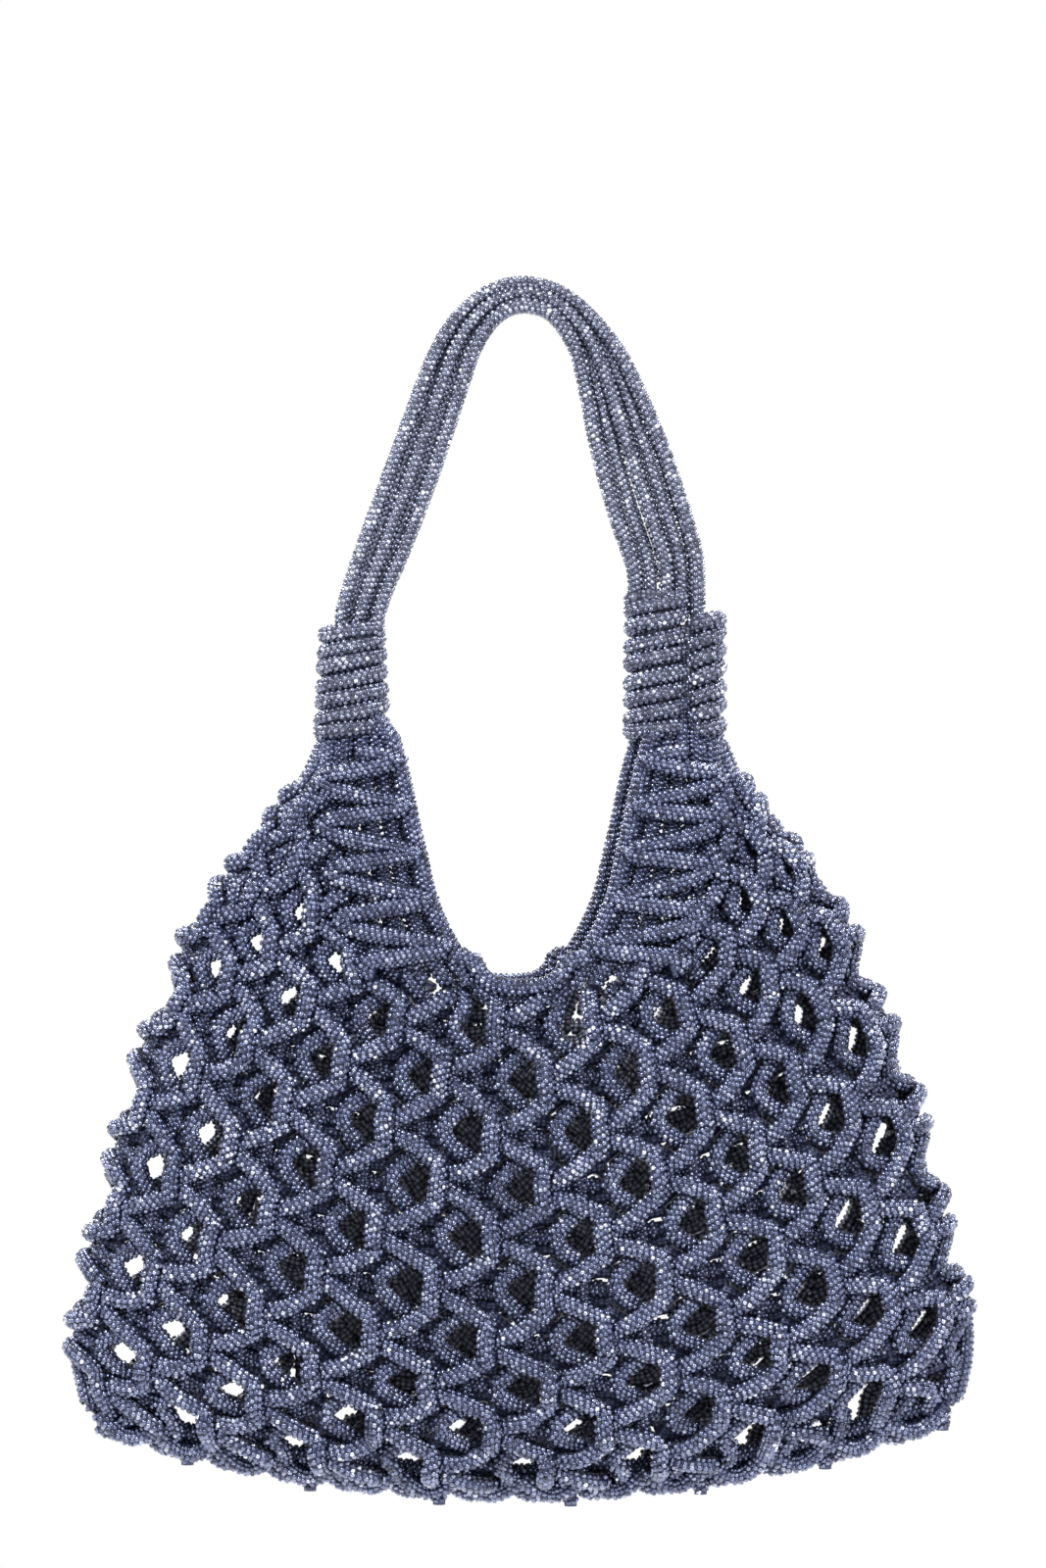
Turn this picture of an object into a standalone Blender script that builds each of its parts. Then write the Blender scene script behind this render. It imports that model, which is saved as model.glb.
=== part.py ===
"""An evening bag knotted from tubular cords of small crystals.

The bag is a pouch of alternating square knots, closed along its bottom and cut low between two
peaks at the mouth. Ladders of wide knots edge the mouth, a binding of wound cord closes each
peak, and a bundle of crystal strands runs from one binding to the other as the handle.

The bag hangs: the origin is the underside of the handle where it lies over a peg. The front
faces -Y, +X is to the right as seen from the front and +Z is up. Sizes are in metres.
"""

import math

import bmesh
import bpy
from mathutils import Vector

# Overall sizes of the pouch, outside
BAG_WIDTH = 0.301
BAG_DEPTH = 0.062
BODY_HEIGHT = 0.1664
PEAK_HEIGHT = 0.0798
HANDLE_RISE = 0.1413

# Shape of the pouch: how full its section is, how much its columns close up towards the sides,
# and how far the meshes of the back stand aside of those of the front, in meshes
SECTION_POWER = 2.6
SIDE_CLOSING = 0.12
BACK_SHIFT = 0.5
SHIFT_ROWS_LOW = 3
SHIFT_ROWS_HIGH = 2

# The net
NET_WALL = 0.0070
KNOT_RISE = 0.0030
MESHES_ROUND = 16
OPEN_ROWS = range(1, 8)
LAST_ROW = 9
MOUTH_ROW = 10
PEAK_ROWS = 5
MESH_HALF_WIDTH = 0.17
MESH_HALF_HEIGHT = 0.45
MESH_TOP_EDGE = 0.07
MESH_SIDE_EDGE = 0.18
MOUTH_HALF = 0.5

# Ladders of wide knots along the mouth; foot, head and inset in rows and meshes
BAR_WALL = 0.0023
BAR_LIFT = 0.0064
BAR_RELIEF = 0.0021
BARS = 10
BAR_TILT = 0.11
LADDER_FOOT = 0.10
LADDER_HEAD = 0.15
LADDER_INSET = 0.06

# Bindings at the tops of the peaks
BINDING_LEFT_HEIGHT = 0.0375
BINDING_LEFT_WIDTH = 0.0255
BINDING_RIGHT_HEIGHT = 0.0495
BINDING_RIGHT_WIDTH = 0.0226
BINDING_DEPTH = 0.0235
SHOULDER_HEIGHT = 0.0405
SHOULDER_WIDTH = 0.0150
SHOULDER_DEPTH = 0.0190
WRAP_RELIEF = 0.0014
LEFT_WRAPS = 5
RIGHT_WRAPS = 6
SHOULDER_WRAPS = 5
LEFT_TAPER = 0.16
RIGHT_TAPER = 0.04
ARCS_A_WRAP = 3
BINDING_SIDES = 12

# Handle strands and the cord ends under the bottom
STRAND = 0.0046
STRAND_STEPS = 14
STRAND_FOOT = 0.6
CORD_END_WIDTH = 0.0044
CORD_END_LENGTH = 0.0036
CORD_ENDS = 7
CORD_END_FIRST = -3.10
CORD_END_PITCH = 1.18
CORD_END_SIDES = 8

# Clearance between pieces that touch, and steps for reading directions off a surface or a line
GAP = 0.0003
MERGE = 0.00001
NORMAL_STEP = 0.05
RUN_STEP = 0.01

TOP_Z = -HANDLE_RISE
MOUTH_Z = TOP_Z - PEAK_HEIGHT
BOTTOM_Z = MOUTH_Z - BODY_HEIGHT
HALF_WIDTH = BAG_WIDTH / 2 - NET_WALL / 2 - KNOT_RISE / 2
HALF_DEPTH = BAG_DEPTH / 2 - NET_WALL / 2 - KNOT_RISE
QUARTER = MESHES_ROUND / 4
HALF_ROUND = MESHES_ROUND / 2

# Outline of the pouch. height: 0 at the bottom seam, 1 at the low point of the mouth, 2 at the
# tops of the peaks. half_width, mouth_gap: shares of HALF_WIDTH. half_depth: share of HALF_DEPTH.
OUTLINE = (
    # height, half_width, mouth_gap, half_depth
    (0.00, 0.955, 0.000, 0.60),
    (0.08, 0.960, 0.000, 0.66),
    (0.15, 0.965, 0.000, 0.76),
    (0.23, 0.985, 0.000, 0.86),
    (0.31, 1.000, 0.000, 0.93),
    (0.42, 0.990, 0.000, 1.00),
    (0.54, 0.955, 0.000, 1.00),
    (0.65, 0.925, 0.000, 0.99),
    (0.77, 0.890, 0.000, 0.96),
    (0.88, 0.850, 0.000, 0.90),
    (1.00, 0.785, 0.105, 0.82),
    (1.17, 0.755, 0.165, 0.74),
    (1.34, 0.695, 0.205, 0.66),
    (1.50, 0.630, 0.225, 0.56),
    (1.66, 0.560, 0.245, 0.47),
    (1.83, 0.490, 0.265, 0.38),
    (2.00, 0.450, 0.290, 0.30),
)

# Rows of knots. height at the middle of the front, and how much higher the row is at the left
# and right sides, all as shares of BODY_HEIGHT.
ROWS = (
    # row, height, left_lift, right_lift
    (-1, 0.000, 0.140, 0.155),
    (0, 0.041, 0.180, 0.250),
    (1, 0.115, 0.184, 0.258),
    (2, 0.198, 0.186, 0.258),
    (3, 0.290, 0.178, 0.254),
    (4, 0.393, 0.176, 0.254),
    (5, 0.493, 0.172, 0.250),
    (6, 0.595, 0.176, 0.250),
    (7, 0.703, 0.168, 0.234),
    (8, 0.806, 0.158, 0.224),
    (9, 0.908, 0.148, 0.208),
    (10, 1.000, 0.132, 0.193),
)

# How far each ladder of wide knots reaches from the edge of the mouth, in meshes.
LADDER = (
    # row, reach
    (10.0, 1.20),
    (11.0, 1.40),
    (12.0, 1.60),
    (13.0, 2.15),
    (14.0, 2.80),
    (15.0, 3.30),
)

# Columns of the peaks, in meshes away from the side seam line.
PEAK_COLUMNS = (-3.5, -2.8, -2.1, -1.4, -0.7, 0.0, 0.7, 1.4, 2.1, 2.8, 3.5)

# Run of the handle, read from the left binding to the right one. across: share of half the span
# between the middles of the peaks. up: share of HANDLE_RISE above the tops of the peaks. spread,
# layer and shear: how far the bundle opens in its own plane, to the front and back, and skewed,
# in strand diameters.
HANDLE_RUN = (
    # across, up, spread, layer, shear
    (-1.000, 0.290, 1.18, 1.10, 0.00),
    (-0.940, 0.362, 1.20, 1.10, 0.00),
    (-0.856, 0.445, 1.30, 1.10, 0.00),
    (-0.762, 0.540, 1.36, 1.10, 0.00),
    (-0.665, 0.640, 1.34, 1.10, 0.00),
    (-0.565, 0.748, 1.28, 1.12, 0.05),
    (-0.462, 0.860, 1.22, 1.20, 0.20),
    (-0.362, 0.945, 1.10, 1.35, 0.50),
    (-0.210, 1.013, 0.92, 1.55, 0.78),
    (-0.030, 1.043, 0.80, 1.65, 0.88),
    (0.160, 1.033, 0.80, 1.65, 0.88),
    (0.305, 0.993, 0.92, 1.55, 0.70),
    (0.430, 0.930, 1.20, 1.35, 0.35),
    (0.520, 0.855, 1.60, 1.15, 0.10),
    (0.650, 0.700, 2.25, 0.90, 0.00),
    (0.770, 0.555, 2.45, 0.80, 0.00),
    (0.875, 0.430, 2.40, 0.75, 0.00),
    (0.895, 0.365, 2.38, 0.75, 0.00),
)

# Cut end of a cord, down its axis, as shares of its half width and of its length.
CORD_END_PROFILE = (
    # radius, down
    (0.0, 0.00),
    (0.8, 0.00),
    (1.0, 0.35),
    (1.0, 0.55),
    (0.6, 1.00),
    (0.0, 1.00),
)

# Places of the strands in the bundle.
STRANDS = (
    # outward, back
    (-1.0, -1.0),
    (0.0, -1.0),
    (1.0, -1.0),
    (-0.5, 0.0),
    (0.5, 0.0),
    (-1.0, 1.0),
    (0.0, 1.0),
    (1.0, 1.0),
)


def clear_scene():
    for item in list(bpy.data.objects):
        bpy.data.objects.remove(item, do_unlink=True)


def collection(name):
    made = bpy.data.collections.new(name)
    bpy.context.scene.collection.children.link(made)
    return made


def crystal_material(name, colour, roughness):
    made = bpy.data.materials.new(name)
    made.use_nodes = True
    shader = made.node_tree.nodes["Principled BSDF"]
    shader.inputs["Base Color"].default_value = (*colour, 1.0)
    shader.inputs["Metallic"].default_value = 0.35
    shader.inputs["Roughness"].default_value = roughness
    return made


def value_at(table, place, column):
    """Smooth reading of one column of a table whose first column grows."""
    last = len(table) - 1
    place = min(max(place, table[0][0]), table[last][0])
    i = 0
    while i < last - 1 and place > table[i + 1][0]:
        i += 1
    before, low, high, after = table[max(i - 1, 0)], table[i], table[i + 1], table[min(i + 2, last)]
    step = high[0] - low[0]
    low_slope = (high[column] - before[column]) / (high[0] - before[0]) * step
    high_slope = (after[column] - low[column]) / (after[0] - low[0]) * step
    t = (place - low[0]) / step
    return (
        (2 * t**3 - 3 * t**2 + 1) * low[column]
        + (t**3 - 2 * t**2 + t) * low_slope
        + (3 * t**2 - 2 * t**3) * high[column]
        + (t**3 - t**2) * high_slope
    )


def across_share(share):
    """Even columns on the panel that close up a little towards the side."""
    return (1 - SIDE_CLOSING) * share + SIDE_CLOSING * math.sin(math.pi * share / 2)


def back_shift(u, w):
    """Meshes that a place on the back stands aside: none at the sides, the seam and the mouth."""
    across = 1 - ((u - HALF_ROUND) / QUARTER) ** 2
    up = min((w + 1) / SHIFT_ROWS_LOW, (MOUTH_ROW - w) / SHIFT_ROWS_HIGH)
    up = min(max(up, 0.0), 1.0)
    return BACK_SHIFT * across * (3 * up**2 - 2 * up**3)


def net_point(u, w):
    """Middle of the net's wall: u counts meshes round from the middle of the front, w rows up."""
    u = (u + QUARTER) % MESHES_ROUND - QUARTER
    back = u > QUARTER
    if back:
        u = HALF_ROUND - u - back_shift(u, w)
    share = min(abs(u) / QUARTER, 1.0)
    lift_column = 2 if u < 0 else 3
    row = min(w, MOUTH_ROW)
    z = BOTTOM_Z + BODY_HEIGHT * value_at(ROWS, row, 1)
    lift = BODY_HEIGHT * value_at(ROWS, row, lift_column) * share**2
    if w > MOUTH_ROW:
        climb = (w - MOUTH_ROW) / PEAK_ROWS
        z += PEAK_HEIGHT * climb
        lift *= 1 - climb
    z += lift
    if z < MOUTH_Z:
        height = (z - BOTTOM_Z) / BODY_HEIGHT
    else:
        height = 1 + (z - MOUTH_Z) / PEAK_HEIGHT
    outer = HALF_WIDTH * value_at(OUTLINE, height, 1)
    edge_share = across_share(MOUTH_HALF / QUARTER)
    inner = max(HALF_WIDTH * value_at(OUTLINE, height, 2), outer * edge_share)
    part = (across_share(share) - edge_share) / (1 - edge_share)
    if part < 0:
        x = outer * across_share(share)
    else:
        x = inner + (outer - inner) * part
    seam = math.sqrt(min(max((w + 1) / 2, 0.0), 1.0))
    y = -HALF_DEPTH * value_at(OUTLINE, height, 3) * seam * math.sqrt(1 - share**SECTION_POWER)
    return Vector((math.copysign(x, u), -y if back else y, z))


def outward(u, w):
    """Unit normal of the net, pointing out of the bag."""
    along_u = net_point(u + NORMAL_STEP, w) - net_point(u - NORMAL_STEP, w)
    along_w = net_point(u, w + NORMAL_STEP) - net_point(u, max(w - NORMAL_STEP, -1))
    return along_u.cross(along_w).normalized()


def new_object(name, mesh, home, material):
    made = bpy.data.objects.new(name, mesh)
    made.data.materials.append(material)
    home.objects.link(made)
    return made


class Sheet:
    """Open surface on the net's middle, with points shared by their place in meshes and rows."""

    def __init__(self):
        self.mesh = bmesh.new()
        self.points = {}

    def point(self, u, w, out=0.0):
        u = u % MESHES_ROUND
        if w <= -1 and QUARTER < u < MESHES_ROUND - QUARTER:
            u = (HALF_ROUND - u) % MESHES_ROUND
        key = (round(u, 4) % MESHES_ROUND, round(w, 4))
        if key not in self.points:
            place = net_point(u, w)
            if out:
                place = place + outward(u, w) * out
            self.points[key] = self.mesh.verts.new(place)
        return self.points[key]

    def face(self, corners):
        found = [self.point(*corner) for corner in corners]
        different = [p for i, p in enumerate(found) if p is not found[i - 1]]
        if len(different) > 2:
            self.mesh.faces.new(different)

    def zip_rows(self, lower, upper):
        """Triangles between two rows of places that both run to the right."""
        i = j = 0
        while i < len(lower) - 1 or j < len(upper) - 1:
            if j == len(upper) - 1:
                take_lower = True
            elif i == len(lower) - 1:
                take_lower = False
            else:
                take_lower = lower[i + 1][0] <= upper[j + 1][0]
            if take_lower:
                self.face((lower[i], lower[i + 1], upper[j]))
                i += 1
            else:
                self.face((lower[i], upper[j + 1], upper[j]))
                j += 1

    def to_object(self, name, home, material, wall, offset):
        data = bpy.data.meshes.new(name)
        self.mesh.to_mesh(data)
        self.mesh.free()
        made = new_object(name, data, home, material)
        solid = made.modifiers.new("Wall", "SOLIDIFY")
        solid.thickness = wall
        solid.offset = offset
        return made


def knot_corners(u, w):
    """Corners of a knot, anticlockwise from outside, where the four meshes round it end."""
    side = 0.5 - MESH_HALF_WIDTH
    high = 1 - MESH_HALF_HEIGHT
    return (
        (u + side, w - MESH_SIDE_EDGE),
        (u + side, w + MESH_SIDE_EDGE),
        (u + MESH_TOP_EDGE, w + high),
        (u - MESH_TOP_EDGE, w + high),
        (u - side, w + MESH_SIDE_EDGE),
        (u - side, w - MESH_SIDE_EDGE),
        (u - MESH_TOP_EDGE, w - high),
        (u + MESH_TOP_EDGE, w - high),
    )


def mesh_corners(u, w):
    """Corners of a mesh of the net, anticlockwise from outside."""
    return (
        (u + MESH_HALF_WIDTH, w - MESH_SIDE_EDGE),
        (u + MESH_HALF_WIDTH, w + MESH_SIDE_EDGE),
        (u + MESH_TOP_EDGE, w + MESH_HALF_HEIGHT),
        (u - MESH_TOP_EDGE, w + MESH_HALF_HEIGHT),
        (u - MESH_HALF_WIDTH, w + MESH_SIDE_EDGE),
        (u - MESH_HALF_WIDTH, w - MESH_SIDE_EDGE),
        (u - MESH_TOP_EDGE, w - MESH_HALF_HEIGHT),
        (u + MESH_TOP_EDGE, w - MESH_HALF_HEIGHT),
    )


def band_faces(sheet, u, w):
    """The two pairs of cords that leave a knot upwards, to the right and to the left."""
    high = w + 1 - MESH_HALF_HEIGHT
    for hand in (1, -1):
        corners = [
            (u + hand * (0.5 - MESH_HALF_WIDTH), w + MESH_SIDE_EDGE),
            (u + hand * (0.5 - MESH_TOP_EDGE), w + MESH_HALF_HEIGHT),
            (u + hand * MESH_HALF_WIDTH, w + 1 - MESH_SIDE_EDGE),
            (u + hand * MESH_TOP_EDGE, high),
        ]
        sheet.face(corners if hand > 0 else corners[::-1])


def row_start(row):
    return 0.5 * (row % 2)


def edge_of_rows(row, up):
    """Upper or lower edge of the knotted rows, once round, starting at the middle of the front."""
    places = []
    for k in range(MESHES_ROUND + 1):
        for u, reach in ((k + row_start(row), MESH_HALF_HEIGHT), (k + row_start(row + 1), 0)):
            if reach:
                places += [(u + MESH_HALF_WIDTH * s, row + up * MESH_SIDE_EDGE) for s in (-1, 1)]
                places += [(u + MESH_TOP_EDGE * s, row + up * reach) for s in (-1, 1)]
            else:
                high = 1 - MESH_HALF_HEIGHT
                places += [(u + MESH_TOP_EDGE * s, row + up * high) for s in (-1, 1)]
    places = sorted(set((round(u, 4), round(w, 4)) for u, w in places))
    start = min(i for i, place in enumerate(places) if place[0] >= 0)
    once = [place for place in places[start:] if place[0] < places[start][0] + MESHES_ROUND - 1e-6]
    return once + [(once[0][0] + MESHES_ROUND, once[0][1])]


def mouth_places():
    """Places along the mouth row, once round from the middle of the front."""
    right = [(QUARTER + c, MOUTH_ROW) for c in PEAK_COLUMNS]
    left = [(3 * QUARTER + c, MOUTH_ROW) for c in PEAK_COLUMNS]
    start = [(0, MOUTH_ROW)]
    return start + right + [(HALF_ROUND, MOUTH_ROW)] + left + [(MESHES_ROUND, MOUTH_ROW)]


def make_net(home, material):
    sheet = Sheet()
    for row in range(LAST_ROW + 1):
        for k in range(MESHES_ROUND):
            u = k + row_start(row)
            knot_u = u + 0.5
            ring = knot_corners(knot_u, row)
            centre = (knot_u, row, KNOT_RISE)
            for i, corner in enumerate(ring):
                sheet.face((centre, corner, ring[(i + 1) % len(ring)]))
            if row < LAST_ROW:
                band_faces(sheet, knot_u, row)
            if row not in OPEN_ROWS:
                sheet.face(mesh_corners(u, row))
    seam = [(k / 2, -1) for k in range(2 * MESHES_ROUND + 1)]
    sheet.zip_rows(seam, edge_of_rows(0, -1))
    sheet.zip_rows(edge_of_rows(LAST_ROW, 1), mouth_places())
    for side in (QUARTER, 3 * QUARTER):
        for step in range(2 * PEAK_ROWS):
            low = MOUTH_ROW + step / 2
            lower = [(side + c, low) for c in PEAK_COLUMNS]
            upper = [(side + c, low + 0.5) for c in PEAK_COLUMNS]
            for i in range(len(PEAK_COLUMNS) - 1):
                sheet.face((lower[i], lower[i + 1], upper[i + 1], upper[i]))
    return sheet.to_object("net_body", home, material, NET_WALL, 0)


def make_ladder(name, home, material, edge_u, hand):
    """Ribbed band of wide knots on the outside of the net, beside the mouth."""
    sheet = Sheet()
    steps = 2 * BARS
    first = MOUTH_ROW + LADDER_FOOT
    climb = PEAK_ROWS - LADDER_FOOT - LADDER_HEAD
    rows = []
    for step in range(steps + 1):
        w = first + climb * step / steps
        reach = value_at(LADDER, w, 1)
        crest = step % 2
        tilt = BAR_TILT * (1 if (step // 2) % 2 else -1) * crest
        lift = BAR_LIFT + BAR_RELIEF * crest
        row = []
        for share in (0, 0.5, 1):
            u = edge_u + hand * (LADDER_INSET + (reach - 2 * LADDER_INSET) * share)
            row.append((u, w + tilt * (2 * share - 1), lift))
        rows.append(row if hand > 0 else row[::-1])
    for lower, upper in zip(rows, rows[1:]):
        for i in range(len(lower) - 1):
            sheet.face((lower[i], lower[i + 1], upper[i + 1], upper[i]))
    return sheet.to_object(name, home, material, BAR_WALL, -1)


def turned(name, home, material, points, sides):
    """Solid of revolution about its own Z, from (radius, height) points."""
    profile = bpy.data.meshes.new(name)
    edges = [(i, i + 1) for i in range(len(points) - 1)]
    profile.from_pydata([(x, 0.0, z) for x, z in points], edges, [])
    made = new_object(name, profile, home, material)
    turn = made.modifiers.new("Turn", "SCREW")
    turn.steps = turn.render_steps = sides
    turn.use_merge_vertices = True
    turn.merge_threshold = MERGE
    return made


def wound_column(name, home, material, centre_x, width, depth, low, height, wraps, taper):
    """Cord wound round a neck: a turned profile with one round for each wrap."""
    points = [(0.0, height)]
    for wrap in range(wraps):
        for step in range(ARCS_A_WRAP + (wrap == wraps - 1)):
            down = (wrap + step / ARCS_A_WRAP) / wraps
            bulge = math.sin(math.pi * step / ARCS_A_WRAP)
            radius = width / 2 * (1 - taper * (1 - down)) - WRAP_RELIEF * (1 - bulge)
            points.append((radius, height * (1 - down)))
    points.append((0.0, 0.0))
    made = turned(name, home, material, points, BINDING_SIDES)
    made.location = (centre_x, 0.0, low)
    made.scale = (1.0, depth / width, 1.0)
    return made


def peak_centre(side):
    """Distance of a peak's middle from the middle of the bag, at its top."""
    outer = net_point(side * QUARTER, MOUTH_ROW + PEAK_ROWS).x
    inner = net_point(side * MOUTH_HALF, MOUTH_ROW + PEAK_ROWS).x
    return (outer + inner) / 2


def rim_height():
    """Height of the net's rim at the tops of the peaks, where its wall leans."""
    top = MOUTH_ROW + PEAK_ROWS
    lean = max(abs(outward(QUARTER + column, top).z) for column in PEAK_COLUMNS)
    return TOP_Z + lean * NET_WALL / 2


def make_bindings(home, guides, material):
    """Both bindings; returns the height that they start at."""
    low = rim_height() + GAP
    left_x = peak_centre(-1)
    wound_column(
        "binding_left", home, material, left_x, BINDING_LEFT_WIDTH, BINDING_DEPTH,
        low, BINDING_LEFT_HEIGHT, LEFT_WRAPS, LEFT_TAPER,
    )
    right_x = peak_centre(1) - SHOULDER_WIDTH / 2 + (BINDING_RIGHT_WIDTH - BINDING_LEFT_WIDTH) / 2
    right = wound_column(
        "binding_right", home, material, right_x, BINDING_RIGHT_WIDTH, BINDING_DEPTH,
        low, BINDING_RIGHT_HEIGHT, RIGHT_WRAPS, RIGHT_TAPER,
    )
    shoulder_x = right_x + (BINDING_RIGHT_WIDTH + SHOULDER_WIDTH) / 2 - 2 * WRAP_RELIEF
    shoulder = wound_column(
        "shoulder_guide", guides, material, shoulder_x, SHOULDER_WIDTH, SHOULDER_DEPTH,
        low, SHOULDER_HEIGHT, SHOULDER_WRAPS, RIGHT_TAPER,
    )
    shoulder.hide_render = True
    shoulder.display_type = "WIRE"
    join = right.modifiers.new("Shoulder", "BOOLEAN")
    join.operation = "UNION"
    join.object = shoulder
    return low


def bundle_middle(share):
    """Reads HANDLE_RUN by the share of its rows, as (x, z, spread, layer, shear)."""
    last = len(HANDLE_RUN) - 1
    table = [(i / last, *row) for i, row in enumerate(HANDLE_RUN)]
    across, up, spread, layer, shear = (value_at(table, share, c) for c in range(1, 6))
    half_span = (peak_centre(1) - peak_centre(-1)) / 2
    middle = (peak_centre(1) + peak_centre(-1)) / 2
    return middle + half_span * across, TOP_Z + HANDLE_RISE * up, spread, layer, shear


def strand_point(share, outward_place, back_place):
    x, z, spread, layer, shear = bundle_middle(share)
    after = bundle_middle(min(share + RUN_STEP, 1.0))
    before = bundle_middle(max(share - RUN_STEP, 0.0))
    along = Vector((after[0] - before[0], 0.0, after[1] - before[1])).normalized()
    normal = Vector((-along.z, 0.0, along.x))
    y = STRAND * (layer * back_place + shear * outward_place)
    return Vector((x, y, z)) + normal * STRAND * spread * outward_place


def make_strand(number, place, home, material, ends):
    """One crystal strand from the left binding, over the peg, into the right binding."""
    out, back = place
    steps = STRAND_STEPS
    points = [strand_point(i / steps, out, back) for i in range(steps + 1)]
    left_top, right_top = ends
    points = [p for p in points if p.z > (left_top if p.x < 0 else right_top) + STRAND]
    start, end = points[0], points[-1]
    stand = STRAND * STRAND_FOOT
    left_foot = [Vector((start.x, start.y, left_top + rise)) for rise in (0.0, stand)]
    right_foot = [Vector((end.x, end.y, right_top + rise)) for rise in (stand, 0.0)]
    points = left_foot + points + right_foot
    data = bpy.data.curves.new(f"handle_strand_{number}", "CURVE")
    data.dimensions = "3D"
    data.bevel_depth = STRAND / 2
    data.bevel_resolution = 2
    data.use_fill_caps = True
    spline = data.splines.new("POLY")
    spline.points.add(len(points) - 1)
    for spot, place_now in zip(spline.points, points):
        spot.co = (*place_now, 1.0)
    made = bpy.data.objects.new(f"handle_strand_{number}", data)
    data.materials.append(material)
    home.objects.link(made)
    return made


def make_cord_end(number, u, home, material):
    """Cut end of a cord that hangs out of the bottom seam."""
    points = [(CORD_END_WIDTH / 2 * radius, -CORD_END_LENGTH * down) for radius, down in CORD_END_PROFILE]
    made = turned(f"cord_end_{number}", home, material, points, CORD_END_SIDES)
    seam = net_point(u, -1)
    made.location = (seam.x, 0.0, seam.z - NET_WALL / 2 - 2 * GAP)
    return made


def main():
    clear_scene()
    home = collection("crystal_evening_bag")
    guides = collection("guides")
    net_colour = crystal_material("net_crystals", (0.100, 0.120, 0.185), 0.34)
    ladder_colour = crystal_material("ladder_crystals", (0.110, 0.135, 0.205), 0.32)
    binding_colour = crystal_material("binding_crystals", (0.145, 0.165, 0.230), 0.34)
    strand_colour = crystal_material("strand_crystals", (0.155, 0.165, 0.225), 0.30)
    end_colour = crystal_material("cord_end_crystals", (0.080, 0.095, 0.150), 0.40)
    make_net(home, net_colour)
    make_ladder("edge_ladder_front_left", home, ladder_colour, -MOUTH_HALF, -1)
    make_ladder("edge_ladder_front_right", home, ladder_colour, MOUTH_HALF, 1)
    make_ladder("edge_ladder_back_right", home, ladder_colour, HALF_ROUND - MOUTH_HALF, -1)
    make_ladder("edge_ladder_back_left", home, ladder_colour, HALF_ROUND + MOUTH_HALF, 1)
    low = make_bindings(home, guides, binding_colour)
    left_top = low + BINDING_LEFT_HEIGHT + GAP
    right_top = low + BINDING_RIGHT_HEIGHT + GAP
    shoulder_top = low + SHOULDER_HEIGHT + GAP
    for number, place in enumerate(STRANDS, 1):
        ends = (left_top, shoulder_top if place[0] == 1.0 else right_top)
        make_strand(number, place, home, strand_colour, ends)
    for number in range(1, CORD_ENDS + 1):
        make_cord_end(number, CORD_END_FIRST + CORD_END_PITCH * (number - 1), home, end_colour)


main()
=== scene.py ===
"""Looks of the crystal evening bag: tubular cords set with small faceted crystals.

The cords follow the same surface of meshes and rows as the part's source: u counts meshes round
the bag from the middle of the front, w counts rows of knots up from the bottom.
"""

import math

import bpy
import numpy as np
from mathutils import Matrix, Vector
from mathutils.kdtree import KDTree


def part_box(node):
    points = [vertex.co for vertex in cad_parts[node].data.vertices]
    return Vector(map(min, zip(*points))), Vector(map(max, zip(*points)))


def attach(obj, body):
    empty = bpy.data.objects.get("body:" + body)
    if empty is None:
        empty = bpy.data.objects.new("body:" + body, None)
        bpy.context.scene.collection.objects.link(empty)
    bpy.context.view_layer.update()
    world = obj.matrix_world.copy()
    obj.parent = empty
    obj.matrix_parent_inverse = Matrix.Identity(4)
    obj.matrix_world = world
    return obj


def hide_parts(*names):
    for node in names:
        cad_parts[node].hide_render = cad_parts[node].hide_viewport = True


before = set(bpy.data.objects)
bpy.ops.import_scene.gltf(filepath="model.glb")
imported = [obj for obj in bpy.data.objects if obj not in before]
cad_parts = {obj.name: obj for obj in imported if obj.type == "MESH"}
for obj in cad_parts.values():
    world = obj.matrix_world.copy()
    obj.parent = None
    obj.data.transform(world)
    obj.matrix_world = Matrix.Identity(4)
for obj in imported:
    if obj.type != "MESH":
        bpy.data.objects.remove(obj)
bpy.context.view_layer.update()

MM = 0.001
SEED = 11
rng = np.random.default_rng(SEED)

# Overall sizes, as in the part's source
BODY_HEIGHT = 0.1664
PEAK_HEIGHT = 0.0798
HANDLE_RISE = 0.1413
HALF_WIDTH = 0.1455
HALF_DEPTH = 0.0245
TOP_Z = -HANDLE_RISE
MOUTH_Z = TOP_Z - PEAK_HEIGHT
BOTTOM_Z = MOUTH_Z - BODY_HEIGHT
MESHES_ROUND = 16
QUARTER = 4
LAST_ROW = 9
MOUTH_ROW = 10
PEAK_ROWS = 5
MOUTH_HALF = 0.5
SECTION_POWER = 2.6
SIDE_CLOSING = 0.12
BINDING_RIGHT_WIDTH = 0.0226
SHOULDER_HEIGHT = 0.0405
SHOULDER_WIDTH = 0.0150
STRAND = 0.0046

# How far the back's meshes stand aside of the front's and lower, and the rows over which that fades
BACK_SHIFT = 0.5
BACK_DROP = 0.2
SHIFT_ROWS_LOW = 3
SHIFT_ROWS_HIGH = 2

# Full-size spacing of the knots, for which the knot below is drawn
MESH_PITCH = 37.5 * MM
ROW_PITCH = 17.0 * MM

# Cords
CORD_RADIUS = 2.55 * MM
STRAND_RADIUS = 2.1 * MM
CUT_END_RADIUS = 2.2 * MM
CORD_ROWS = 10
THIN_CORD_ROWS = 8
SAMPLE = 0.8 * MM
CURVE_POINTS = 14
NORMAL_STEP = 0.06
TUBE_STEP = 4
TUBE_SIDES = 8
HIDDEN_SIDES = 6
INNER_FACING = -0.2
CORE_TONE = 0.35

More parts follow.
